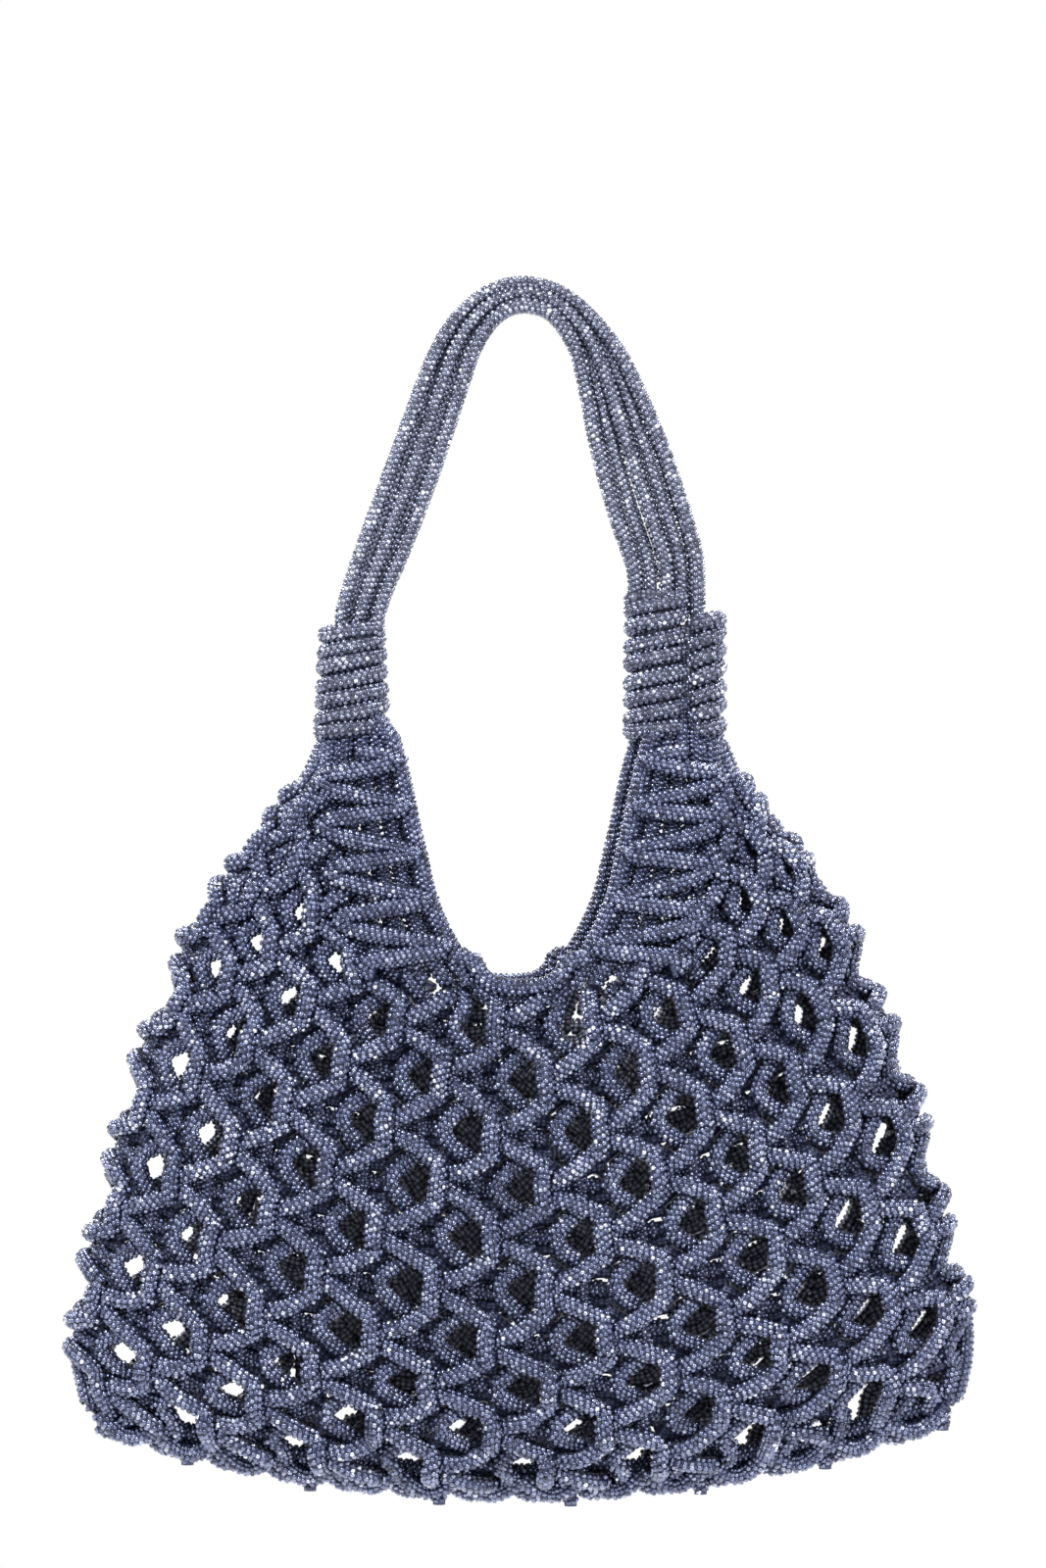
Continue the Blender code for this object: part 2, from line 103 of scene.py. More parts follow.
# Stones: low cones cut flat on top, set in rows along the cords
STONE_PITCH = 1.95 * MM
STONE_RADIUS = 1.0 * MM
STONE_RISE = 0.60 * MM
STONE_SIDES = 4
STONE_RINGS = (
    # share of the radius, height, turn in sides
    (1.0, -0.12 * MM, 0.0),
    (0.58, STONE_RISE, 0.5),
)
FIRST_STONE = 0.2
STAGGER = 3
STONE_SLIDE = 0.16
STONE_SWING = 0.14
STONE_LEAN = 0.07
STONE_FACING = -0.15

# Stones near another cord are painted darker, as shade in the crease, and samples this near on their own cord
# don't count
CREASE = 1.6 * MM
CREASE_SHADE = 0.45
OWN_SAMPLES = 10
TONE_RUN = 16
TONE_DRIFT = 0.06
TONE_SPREAD = (2.2, 2.6)

OUTLINE = (
    # height, half_width, mouth_gap, half_depth
    (0.00, 0.950, 0.000, 0.60),
    (0.08, 0.970, 0.000, 0.66),
    (0.15, 0.990, 0.000, 0.76),
    (0.23, 1.010, 0.000, 0.86),
    (0.31, 1.010, 0.000, 0.93),
    (0.42, 0.990, 0.000, 1.00),
    (0.54, 0.955, 0.000, 1.00),
    (0.65, 0.925, 0.000, 0.99),
    (0.77, 0.890, 0.000, 0.96),
    (0.88, 0.850, 0.000, 0.90),
    (1.00, 0.785, 0.105, 0.82),
    (1.17, 0.755, 0.165, 0.74),
    (1.34, 0.695, 0.205, 0.66),
    (1.50, 0.630, 0.225, 0.56),
    (1.66, 0.560, 0.245, 0.47),
    (1.83, 0.490, 0.265, 0.38),
    (2.00, 0.450, 0.290, 0.30),
)

ROWS = (
    # row, height, left_lift, right_lift
    (-1, 0.000, 0.140, 0.155),
    (0, 0.041, 0.180, 0.250),
    (1, 0.115, 0.184, 0.258),
    (2, 0.198, 0.186, 0.258),
    (3, 0.290, 0.178, 0.254),
    (4, 0.393, 0.176, 0.254),
    (5, 0.493, 0.172, 0.250),
    (6, 0.595, 0.176, 0.250),
    (7, 0.703, 0.168, 0.234),
    (8, 0.806, 0.158, 0.224),
    (9, 0.908, 0.148, 0.208),
    (10, 1.000, 0.132, 0.193),
)

LADDER = (
    # row, reach
    (10.0, 1.20),
    (11.0, 1.40),
    (12.0, 1.60),
    (13.0, 2.15),
    (14.0, 2.80),
    (15.0, 3.30),
)

# One bar of a ladder, over and back: share of the reach, rows up from its outer end, millimetres out
LADDER_BAR = (
    (0.88, -0.12, 6.2), (1.00, 0.00, 5.0), (0.88, 0.13, 6.6), (0.50, 0.36, 7.4), (0.14, 0.55, 6.4),
    (0.00, 0.62, 4.6), (0.14, 0.68, 6.0), (0.50, 0.76, 6.6),
)
LADDER_BARS = 5
LADDER_START = 10.02
LADDER_STEP = 0.97
LADDER_TOP = 14.97
LADDER_INNER = 0.05
LADDER_CORES = (0.05, 0.24, 0.46, 0.70, 0.92)
LADDER_CORE_ROWS = (9.9, 10.5, 11.3, 12.1, 12.9, 13.7, 14.5, 15.0)

# Cords that edge the mouth: rows lower and millimetres out, and the rows of their points on a V edge
RAILS = ((0.0, 3.2), (-0.28, 0.0))
RAIL_ROWS = (15.0, 14.3, 13.5, 12.7, 11.9, 11.2, 10.6)
RAIL_SPREAD = 0.10
BACK_EDGE_LEAN = 3.8 * MM

HANDLE_RUN = (
    # across, up, spread, layer, shear
    (-1.000, 0.290, 1.24, 0.80, 0.00),
    (-0.940, 0.362, 1.28, 0.80, 0.00),
    (-0.856, 0.445, 1.38, 0.80, 0.00),
    (-0.762, 0.540, 1.42, 0.80, 0.00),
    (-0.665, 0.640, 1.42, 0.80, 0.00),
    (-0.565, 0.748, 1.38, 0.84, 0.05),
    (-0.462, 0.860, 1.30, 0.95, 0.20),
    (-0.362, 0.945, 1.14, 1.10, 0.40),
    (-0.210, 1.013, 0.96, 1.30, 0.60),
    (-0.030, 1.043, 0.86, 1.40, 0.66),
    (0.160, 1.033, 0.86, 1.40, 0.66),
    (0.305, 0.993, 0.98, 1.30, 0.55),
    (0.430, 0.930, 1.24, 1.10, 0.30),
    (0.520, 0.855, 1.64, 0.85, 0.10),
    (0.650, 0.700, 2.20, 0.74, 0.00),
    (0.770, 0.555, 2.36, 0.70, 0.00),
    (0.875, 0.430, 2.28, 0.66, 0.00),
    (0.895, 0.365, 2.24, 0.66, 0.00),
)

# Strands of the handle: share of the spread outward, share of the layer backward
STRANDS = ((-1, -1), (0, -1), (1, -1), (-0.5, -0.5), (0.5, -0.5), (-0.75, 1), (0.25, 1), (0.75, 1))
STRAND_POINTS = 240
STRAND_SINK = 8 * MM
STRAND_CLEAR = 1.5 * MM
STRAND_WANDER = 0.25 * MM
OUTER_STRAND = 0.9

# One knot in millimetres: right, up and out of the bag from the knot's middle. The front cord runs
# in from the upper right, turns at the left and leaves to the lower right as two bars. There it
# becomes the upright side of the next knot below. The core cord runs through the knot's middle
# and bows to the left round the mesh below it.
BARS = (
    (8.4, 10.2, 3.8), (5.0, 8.4, 5.2), (0.6, 5.3, 5.9), (-3.8, 3.6, 5.2), (-6.9, 2.1, 3.0), (-8.0, 0.0, 1.4),
    (-6.9, -2.3, 3.0), (-3.6, -3.8, 4.8), (0.8, -5.5, 5.5), (5.2, -8.6, 5.0), (8.3, -10.4, 4.2),
)
UPRIGHT = ((-10.6, 4.0, 6.2), (-10.8, 0.0, 7.2), (-10.6, -4.0, 6.2))
CORE = (
    (0.6, 8.0, 0.2), (1.6, 4.0, -0.8), (1.6, -4.0, -0.8), (0.4, -8.2, 0.4), (-4.6, -12.0, 1.6),
    (-8.2, -17.0, 2.4), (-4.6, -22.0, 1.6),
)

# Short passes behind a knot. Only the first shows its stones, painted darker as shade behind the cords in
# front
BACK_BARS = (
    ((-9.5, 1.0, 0.0), (-4.0, 0.5, -1.8), (4.0, -0.5, -1.8), (9.5, -1.0, -0.5)),
    ((-10.5, 9.0, -1.0), (-4.0, 4.0, -3.6), (4.0, -4.4, -3.6), (11.5, -4.8, -1.5)),
    ((-10.5, -9.0, -1.0), (-4.0, -4.0, -3.6), (4.0, 4.4, -3.6), (11.5, 4.8, -1.5)),
)
BACK_BAR_SHADE = -0.2
KNOT_SINK = 0.8
SIDE_FLAT = 0.5

# Looseness of the knots: turn, and shifts right, up and out in millimetres. It's less where a point
# is this many millimetres above or below the knot's middle
KNOT_TURN = 0.15
KNOT_WANDER = (1.1, 1.0, 0.6)
HELD_FROM = 8
HELD_SHARE = 0.35

# Where the rows of knots on the peaks begin, in meshes from the middle of the front or back
PEAK_KNOTS = {10: 1.5, 11: 2.0, 12: 2.5, 13: 3.0}

# Cords whose top knot is this far out and this high are gathered into a binding
GATHERED_FROM = 2.65
GATHERED_ROW = 12
GATHERED_TOP = 14.95
LOWEST_TURN = -0.86
SEAM_ROW = -0.98
SHADE_SEED_ROW = 50

# Windings of cord round the tops of the peaks
WINDINGS = {
    # name: width, depth, turns, taper, angle at the start, tilt
    "left": (0.0262, 0.0240, 6.6, 0.16, -2.4, 1.0 * MM),
    "right": (0.0234, 0.0240, 8.2, 0.04, -2.2, 0.9 * MM),
    "shoulder": (0.0156, 0.0196, 6.6, 0.04, -2.0, 1.1 * MM),
}
WINDING_INSET = 3.0 * MM
WINDING_POINTS = 48
WINDING_WANDER = 0.45 * MM
FILLER_TONE = -0.3

# Garland cords of the bottom seam: reach and pitch in meshes, the rest in millimetres
GARLAND_REACH = 3.9
GARLAND_PITCH = 0.56
GARLAND_TOP = 1.6
GARLAND_FALL = 6.2
GARLAND_OUT = 2.4
GARLAND_SWAY = 1.4
SEAM_LIFT = 2.5 * MM

# Start of the names of the nodes that each kind of piece stands for
NODE_STARTS = {"bars": "edge_ladder", "wound": "binding", "strand": "handle_strand", "cut": "cord"}

# Stage and camera
FLOOR_HALF = 0.5
FLOOR_Z = -0.52
LIT_POINT = (0, 0, -0.24)
LIGHTS = (
    # name, place, size, power
    ("key", (-0.7, -1.3, 1.0), 0.6, 31),
    ("fill", (1.2, -1.2, 0.3), 0.5, 11),
    ("left_back", (-1.1, 1.2, 0.7), 0.6, 18),
    ("right_back", (1.1, 1.1, 0.9), 0.6, 18),
)
CAMERA_TARGET = (0.0005, 0.0, -0.156)
CAMERA_DISTANCE = 2.2
CAMERA_ELEVATION = 0.5
SENSOR_HEIGHT = 36
PICTURE_HEIGHT = 0.521


def curve_shares(t):
    """Shares of two points and of their slopes in the point that lies t of the way between them."""
    return 2 * t**3 - 3 * t**2 + 1, t**3 - 2 * t**2 + t, 3 * t**2 - 2 * t**3, t**3 - t**2


def value_at(table, place, column):
    """Smooth reading of one column of a table whose first column grows."""
    rows = np.array(table, float)
    last = len(rows) - 1
    x, y = rows[:, 0], rows[:, column]
    place = np.clip(place, x[0], x[last])
    i = np.clip(np.searchsorted(x, place) - 1, 0, last - 1)
    before, after = np.maximum(i - 1, 0), np.minimum(i + 2, last)
    step = x[i + 1] - x[i]
    low_slope = (y[i + 1] - y[before]) / (x[i + 1] - x[before]) * step
    high_slope = (y[after] - y[i]) / (x[after] - x[i]) * step
    low, low_turn, high, high_turn = curve_shares((place - x[i]) / step)
    return low * y[i] + low_turn * low_slope + high * y[i + 1] + high_turn * high_slope


def across_share(share):
    """Share of the half width at a share of the quarter round, closing up a little at the side."""
    return (1 - SIDE_CLOSING) * share + SIDE_CLOSING * np.sin(np.pi * share / 2)


def net_point(u, w):
    """Places on the middle of the net, as an array of points."""
    u = (np.asarray(u, float) + QUARTER) % MESHES_ROUND - QUARTER
    w = np.asarray(w, float)
    back = u > QUARTER
    shift = BACK_SHIFT * (1 - ((u - 2 * QUARTER) / QUARTER) ** 2) ** 2
    fade = np.clip(np.minimum(w / SHIFT_ROWS_LOW, (MOUTH_ROW - w) / SHIFT_ROWS_HIGH), 0, 1)
    fade = 3 * fade**2 - 2 * fade**3
    w = np.where(back, w - BACK_DROP * fade * (shift / BACK_SHIFT), w)
    u = np.where(back, 2 * QUARTER - u - shift * fade, u)
    share = np.minimum(np.abs(u) / QUARTER, 1.0)
    row = np.minimum(w, MOUTH_ROW)
    climb = np.clip((w - MOUTH_ROW) / PEAK_ROWS, 0, None)
    lift = np.where(u < 0, value_at(ROWS, row, 2), value_at(ROWS, row, 3))
    lift = BODY_HEIGHT * lift * share**2 * (1 - climb)
    z = BOTTOM_Z + BODY_HEIGHT * value_at(ROWS, row, 1) + PEAK_HEIGHT * climb + lift
    height = np.where(z < MOUTH_Z, (z - BOTTOM_Z) / BODY_HEIGHT, 1 + (z - MOUTH_Z) / PEAK_HEIGHT)
    outer = HALF_WIDTH * value_at(OUTLINE, height, 1)
    edge = across_share(MOUTH_HALF / QUARTER)
    inner = np.maximum(HALF_WIDTH * value_at(OUTLINE, height, 2), outer * edge)
    part = (across_share(share) - edge) / (1 - edge)
    x = np.where(part < 0, outer * across_share(share), inner + (outer - inner) * part)
    seam = np.sqrt(np.clip((w + 1) / 2, 0, 1))
    y = HALF_DEPTH * value_at(OUTLINE, height, 3) * seam * np.sqrt(1 - share**SECTION_POWER)
    return np.stack((np.copysign(x, u), np.where(back, y, -y), z), axis=-1)


def unit(v):
    """Directions of vectors. The tiny length keeps a zero vector from being divided by zero."""
    return v / np.maximum(np.linalg.norm(v, axis=-1, keepdims=True), 1e-12)


def outward(u, w):
    """Directions square to the net and away from the bag."""
    u, w = np.asarray(u, float), np.asarray(w, float)
    along_u = net_point(u + NORMAL_STEP, w) - net_point(u - NORMAL_STEP, w)
    low = np.maximum(w - NORMAL_STEP, -1)
    return unit(np.cross(along_u, net_point(u, low + 2 * NORMAL_STEP) - net_point(u, low)))


def run_of(line):
    """Length along a line up to each of its points."""
    return np.concatenate(([0], np.cumsum(np.linalg.norm(np.diff(line, axis=0), axis=1))))


def length_of(line):
    return float(np.linalg.norm(np.diff(line, axis=0), axis=1).sum())


def even_lengths(run):
    """Evenly spaced lengths, about one sample apart, over the whole run."""
    return np.linspace(0, run[-1], max(int(run[-1] / SAMPLE), 2) + 1)


def read_along(values, run, target):
    """Values of each point of a line at the target lengths."""
    return np.stack([np.interp(target, run, values[:, axis]) for axis in range(3)], axis=1)


def even(line):
    run = run_of(line)
    return read_along(line, run, even_lengths(run))


def even_with(line, out):
    """The same line and its outward directions at evenly spaced points."""
    run = run_of(line)
    target = even_lengths(run)
    return read_along(line, run, target), unit(read_along(out, run, target))


def smooth(points):
    """Evenly spaced points on a smooth curve through the given ones."""
    points = np.asarray(points, float)
    gaps = np.linalg.norm(np.diff(points, axis=0), axis=1)
    knots = np.concatenate(([0], np.cumsum(np.sqrt(gaps + 1e-9))))
    slope = np.empty_like(points)
    slope[1:-1] = (points[2:] - points[:-2]) / (knots[2:] - knots[:-2])[:, None]
    slope[0] = (points[1] - points[0]) / (knots[1] - knots[0])
    slope[-1] = (points[-1] - points[-2]) / (knots[-1] - knots[-2])
    place = np.linspace(0, knots[-1], len(points) * CURVE_POINTS)
    i = np.clip(np.searchsorted(knots, place, side="right") - 1, 0, len(points) - 2)
    gap = (knots[i + 1] - knots[i])[:, None]
    low, low_turn, high, high_turn = curve_shares((place - knots[i])[:, None] / gap)
    fine = low * points[i] + low_turn * slope[i] * gap + high * points[i + 1] + high_turn * slope[i + 1] * gap
    return even(fine)


cords = []


def add_cord(piece, line, radius=CORD_RADIUS, rows=CORD_ROWS, out=None, tone=0.0):
    """Keeps one cord for its piece. out: direction away from the bag at each point, or None."""
    cords.append({"piece": piece, "line": line, "radius": radius, "rows": rows, "out": out, "tone": tone})


def surface_cord(piece, places, before=(), after=(), **options):
    """Cord through (u, w, out in metres) places on the net, with free points at its two ends."""
    places = np.asarray(places, float)
    flat = smooth(places * (MESH_PITCH, ROW_PITCH, 1.0))
    u, w, rise = flat[:, 0] / MESH_PITCH, flat[:, 1] / ROW_PITCH, flat[:, 2:]
    flat_side = 1 - SIDE_FLAT * (fold_of(u) / QUARTER) ** 4
    line = net_point(u, w) + outward(u, w) * rise * flat_side[:, None]
    normal = outward(u, w)
    ends = [np.reshape(end, (-1, 3)) for end in (before, after)]
    line = np.concatenate([ends[0], line, ends[1]])
    normal = np.concatenate([normal[:1].repeat(len(ends[0]), 0), normal, normal[-1:].repeat(len(ends[1]), 0)])
    line, normal = even_with(line, normal)
    add_cord(piece, line, out=normal, **options)


def fold_of(u):
    """Meshes away from the middle of the front or the back, whichever is nearer."""
    return abs((u + QUARTER) % (2 * QUARTER) - QUARTER)


def has_knot(u, row):
    if row <= LAST_ROW:
        return True
    return row in PEAK_KNOTS and fold_of(u) >= PEAK_KNOTS[row]


def net_piece(u):
    """Name of the quarter of the net that a column belongs to."""
    u = u % MESHES_ROUND
    return ("net_front_right", "net_back_right", "net_back_left", "net_front_left")[int(u // QUARTER)]


def peak_centre(side):
    """Middle of the left (-1) or right (1) peak's top, across the bag."""
    top = MOUTH_ROW + PEAK_ROWS
    return (net_point(side * QUARTER, top)[0] + net_point(side * MOUTH_HALF, top)[0]) / 2


def knot_jitter(u, row):
    """The knot's own six random numbers. The factors only give each knot a seed of its own."""
    seed = int(u % MESHES_ROUND * 2) * 97 + row * 7 + 5
    return np.random.default_rng(seed).uniform(-1, 1, 6)


def knot_places(u, row, shape):
    """One cord's way through a knot, as (u, w, out) places. Its turns are looser than its ends."""
    loose = knot_jitter(u, row)
    found = []
    for right, up, rise in shape:
        hold = 1 if abs(up) < HELD_FROM else HELD_SHARE
        turn = KNOT_TURN * hold * loose[0]
        right, up = right - turn * up, up + turn * right
        right += KNOT_WANDER[0] * hold * loose[1]
        up += KNOT_WANDER[1] * hold * loose[2]
        rise += KNOT_WANDER[2] * loose[3]
        found.append((u + right * MM / MESH_PITCH, row + up * MM / ROW_PITCH, (rise - KNOT_SINK) * MM))
    return found


def knots_of(column, hand):
    """Knots on a cord's way up, as (row, whether it's the cord's own column, u)."""
    found = []
    for row in range(max(PEAK_KNOTS) + 1):
        own = (row % 2 == 0) == (column % 1 == 0.5)
        u = column if own else column + 0.5 * hand
        if not has_knot(u, row):
            break
        found.append((row, own, u))
    return found


def cord_top(first, top_row, hand):
    """Free points inside a binding, and places above a cord's first turn."""
    u, w, _ = first
    if fold_of(u) >= GATHERED_FROM and top_row >= GATHERED_ROW:
        turned = u % MESHES_ROUND
        side = 1 if turned < 2 * QUARTER else -1
        middle = QUARTER if side > 0 else 3 * QUARTER
        lean = (turned - middle) * 0.75 + middle + (u - turned)
        foot = net_point(lean, MOUTH_ROW + PEAK_ROWS)
        free = [(0.6 * peak_centre(side) + 0.4 * foot[0], foot[1] * 0.5, TOP_Z + 8 * MM)]
        return free, [(lean, GATHERED_TOP, -1.0 * MM), (lean * 0.6 + u * 0.4, 14.2, 0.5 * MM * hand)]
    if top_row <= LAST_ROW:
        return (), [(u, 9.8, -2.5 * MM)]
    return (), [(u, w + 0.4, -4 * MM)]


def net_cord(column, hand):
    """One of the two cords of a column. hand 1: the front cord, -1: the core cord."""
    run = knots_of(column, hand)
    top_row = run[-1][0]
    places = []
    for row, own, u in reversed(run):
        if hand > 0:
            places += knot_places(u, row, BARS if own else UPRIGHT)
        elif own:
            places += knot_places(u, row, CORE)
        elif row == top_row:
            places += knot_places(column, row + 1, CORE)[-3:]
    places = [place for place in places if place[1] > LOWEST_TURN]
    free, top = cord_top(places[0], top_row, hand)
    places = top + places + [(places[-1][0], SEAM_ROW, 0.0)]
    # Random tone per cord, plus painted light and shade: the front cords a little lighter, and the core
    # cords, which lie deeper, darker
    tone = 0.08 * knot_jitter(column, SHADE_SEED_ROW + hand)[0] + (0.03 if hand > 0 else -0.08)
    surface_cord(net_piece(column), places, free, tone=tone)


def make_net():
    """The two cords of each column, then the short passes behind each knot."""
    for k in range(2 * MESHES_ROUND):
        for hand in (-1, 1):
            net_cord(k / 2, hand)
    for row in range(max(PEAK_KNOTS) + 1):
        for k in range(MESHES_ROUND):
            u = k + 0.5 * (1 - row % 2)
            if not has_knot(u, row):
                continue
            for number, bar in enumerate(BACK_BARS):
                rows = 0 if number else CORD_ROWS
                surface_cord(net_piece(u), knot_places(u, row, bar), rows=rows, tone=BACK_BAR_SHADE)


def into_binding(middle, side):
    """Free points that carry a rail's end up inside the binding, top first."""
    depth = (-1 if middle == 0 else 1) * 5 * MM
    reach = side if middle == 0 else -side
    centre = peak_centre(reach)
    return [(centre, depth, TOP_Z + 14 * MM), (centre - reach * 6 * MM, depth, TOP_Z + 6 * MM)]


def make_rails():
    """Cords that edge the mouth and run down its two V edges, front and back."""
    for middle in (0, 2 * QUARTER):
        for drop, rise in RAILS:
            places = []
            for side in (-1, 1):
                edge = []
                for w in RAIL_ROWS:
                    aside = MOUTH_HALF + RAIL_SPREAD * (w - MOUTH_ROW) / PEAK_ROWS
                    edge.append((middle + side * aside, w, rise * MM))
                edge.append((middle + side * 0.46, 10.15 + drop, rise * MM))
                edge.append((middle + side * 0.28, 9.92 + drop, rise * MM))
                places += edge if side < 0 else [(middle, 9.86 + drop, rise * MM)] + edge[::-1]
            ends = into_binding(middle, -1), into_binding(middle, 1)[::-1]
            # Painted shade: the back's rails get a much darker tone than the front's
            surface_cord("net_mouth_edge", places, *ends, tone=-0.05 if middle == 0 else -0.22)
            cords[-1]["out"] = None
            if middle > 0:
                cords[-1]["line"][:, 0] -= BACK_EDGE_LEAN


def make_ladder(piece, edge_u, hand):
    """Zigzag of wide bars over upright cores, beside the mouth."""
    places = []
    for k in range(LADDER_BARS):
        vertex = LADDER_START + LADDER_STEP * k
        for share, up, rise in LADDER_BAR:
            w = min(vertex + up, LADDER_TOP)
            reach = float(value_at(LADDER, w, 1))
            aside = LADDER_INNER + (reach - LADDER_INNER) * share
            places.append((edge_u + hand * aside, w, rise * MM))
    surface_cord(piece, places)
    for share in LADDER_CORES:
        core = []
        for w in LADDER_CORE_ROWS:
            reach = float(value_at(LADDER, w, 1))
            core.append((edge_u + hand * reach * share, w, (1.0 if w < LADDER_CORE_ROWS[-1] else 0.0) * MM))
        foot = net_point(*core[-1][:2])
        head = [(0.5 * foot[0] + 0.5 * peak_centre(1 if foot[0] > 0 else -1), foot[1] * 0.6, TOP_Z + 8 * MM)]
        # Painted shade: the cores under the bars get a darker tone
        surface_cord(piece, core, after=head, tone=-0.12)


def frames_of(line):
    """Directions along a line and to its sides, which turn no more than the line does."""
    along = unit(np.gradient(line, axis=0))
    side = np.zeros_like(line)
    # Any direction that no cord follows serves as the first
    start = np.cross(along[0], (0.31, 0.83, 0.47))
    side[0] = start / np.linalg.norm(start)
    for i in range(1, len(line)):
        v = side[i - 1] - along[i] * np.dot(side[i - 1], along[i])
        side[i] = v / max(np.linalg.norm(v), 1e-9)
    return along, side, np.cross(along, side)


def helix(centre, radii, low, height, turns, taper, start, tilt):
    """Cord wound round an oval neck, rising to the right at the front, with outward directions."""
    angle = np.linspace(0, 2 * math.pi * turns, int(turns * WINDING_POINTS)) + start
    share = np.clip((np.linspace(0, turns, len(angle)) - 0.5) / (turns - 1), 0, 1)
    shrink = 1 - taper * share
    x = centre + radii[0] * shrink * np.sin(angle)
    y = -radii[1] * shrink * np.cos(angle)
    z = low + height * share + tilt * np.sin(angle) + WINDING_WANDER * np.sin(0.43 * angle + start)
    out = unit(np.stack((np.sin(angle), -np.cos(angle), 0 * angle), axis=1))
    return np.stack((x, y, z), axis=1), out


def make_winding(piece, name, centre, foot, height):
    """One winding over the plain filler inside it."""
    width, depth, turns, taper, start, tilt = WINDINGS[name]
    low = foot + WINDING_INSET
    radii = (width / 2 - CORD_RADIUS - STONE_RISE, depth / 2 - CORD_RADIUS - STONE_RISE)
    line, out = even_with(*helix(centre, radii, low, height - 2 * WINDING_INSET, turns, taper, start, tilt))
    add_cord(piece, line, out=out)
    filler = np.array([(centre, 0, low - 2 * MM), (centre, 0, low + height - 4 * MM)])
    add_cord(piece, even(filler), radius=min(radii) * (1 - taper), rows=0, tone=FILLER_TONE)


def make_bindings():
    """The left winding, the right one, the lower one beside it and a filler between those two."""
    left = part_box("binding_left")
    make_winding("wound_left", "left", peak_centre(-1) - 2.5 * MM, left[0].z, left[1].z - left[0].z)
    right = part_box("binding_right")
    foot, height = right[0].z, right[1].z - right[0].z
    make_winding("wound_right", "right", right[0].x + BINDING_RIGHT_WIDTH / 2, foot, height)
    between = right[0].x + 20.5 * MM
    filler = np.array([(between, 0, foot + 2 * MM), (between, 0, foot + 37 * MM)])
    add_cord("wound_right", even(filler), radius=5.5 * MM, rows=0, tone=FILLER_TONE)
    make_winding("wound_right", "shoulder", right[1].x - SHOULDER_WIDTH / 2, foot, SHOULDER_HEIGHT)


def strand_line(out, back, ends):
    """One strand from inside the left binding to inside the right one. ends: the bindings' tops."""
    last = len(HANDLE_RUN) - 1
    table = [(i / last, *row) for i, row in enumerate(HANDLE_RUN)]
    share = np.linspace(0, 1, STRAND_POINTS)
    across, up, spread, layer, shear = (value_at(table, share, c) for c in range(1, 6))
    half_span = (peak_centre(1) - peak_centre(-1)) / 2
    middle = (peak_centre(1) + peak_centre(-1)) / 2
    x, z = middle + half_span * across, TOP_Z + HANDLE_RISE * up
    along = unit(np.stack((np.gradient(x), 0 * x, np.gradient(z)), axis=1))
    normal = np.stack((-along[:, 2], 0 * x, along[:, 0]), axis=1)
    y = STRAND * (layer * back + shear * out)
    line = np.stack((x, y, z), axis=1) + normal * (STRAND * spread * out)[:, None]
    top = np.where(line[:, 0] < 0, ends[0], ends[1])
    line = line[line[:, 2] > top + STRAND_CLEAR]
    first, final = line[0].copy(), line[-1].copy()
    first[2], final[2] = ends[0] - STRAND_SINK, ends[1] - STRAND_SINK
    return even(np.concatenate(([first], line, [final])))


def make_strands():
    """The strands of the handle. The outermost one ends in the right binding's lower winding."""
    left_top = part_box("binding_left")[1].z
    right_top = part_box("binding_right")[1].z
    shoulder_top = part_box("binding_right")[0].z + SHOULDER_HEIGHT
    for number, (out, back) in enumerate(STRANDS, 1):
        line = strand_line(out, back, (left_top, shoulder_top if out > OUTER_STRAND else right_top))
        wander = np.sin(np.linspace(0, 9, len(line)) + 2.1 * number) * STRAND_WANDER
        line = line + np.stack((0 * wander, wander, wander), axis=1)
        add_cord(f"strand_{number}", line, radius=STRAND_RADIUS, rows=THIN_CORD_ROWS, tone=0.03)


def make_bottom():
    """Garland cords that close the bottom seam, and the cord inside it that turns up at both ends."""
    for hand, phase in ((-1, 0.0), (1, 0.3)):
        u = np.linspace(-GARLAND_REACH, GARLAND_REACH, 420)
        seam = net_point(u, np.full(len(u), -1.0))
        turn = np.pi * (u / GARLAND_PITCH + phase)
        z = seam[:, 2] + (GARLAND_TOP - GARLAND_FALL * np.abs(np.sin(turn))) * MM
        y = hand * (GARLAND_OUT + GARLAND_SWAY * np.cos(2 * turn)) * MM
        add_cord("net_bottom_edge", even(np.stack((seam[:, 0], y, z), axis=1)))
    u = np.concatenate((np.full(12, -4.0), np.linspace(-4, 4, 300), np.full(12, 4.0)))
    w = np.concatenate((np.linspace(0.3, -0.9, 12), np.full(300, -1.0), np.linspace(-0.9, 0.3, 12)))
    # Painted shade: the cord inside the seam gets a darker tone
    add_cord("net_bottom_edge", even(net_point(u, w) + (0, 0, SEAM_LIFT)), tone=-0.1)


def make_cord_ends():
    """The cut ends that hang out of the bottom seam."""
    ends = sum(name.startswith("cord_end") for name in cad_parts)
    for number in range(1, ends + 1):
        low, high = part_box(f"cord_end_{number}")
        x, y = (low.x + high.x) / 2, (low.y + high.y) / 2
        line = np.array([(x, y, high.z + 2 * MM), (x, y, low.z - 1.2 * MM)])
        add_cord(f"cut_end_{number}", even(line), radius=CUT_END_RADIUS, rows=THIN_CORD_ROWS)


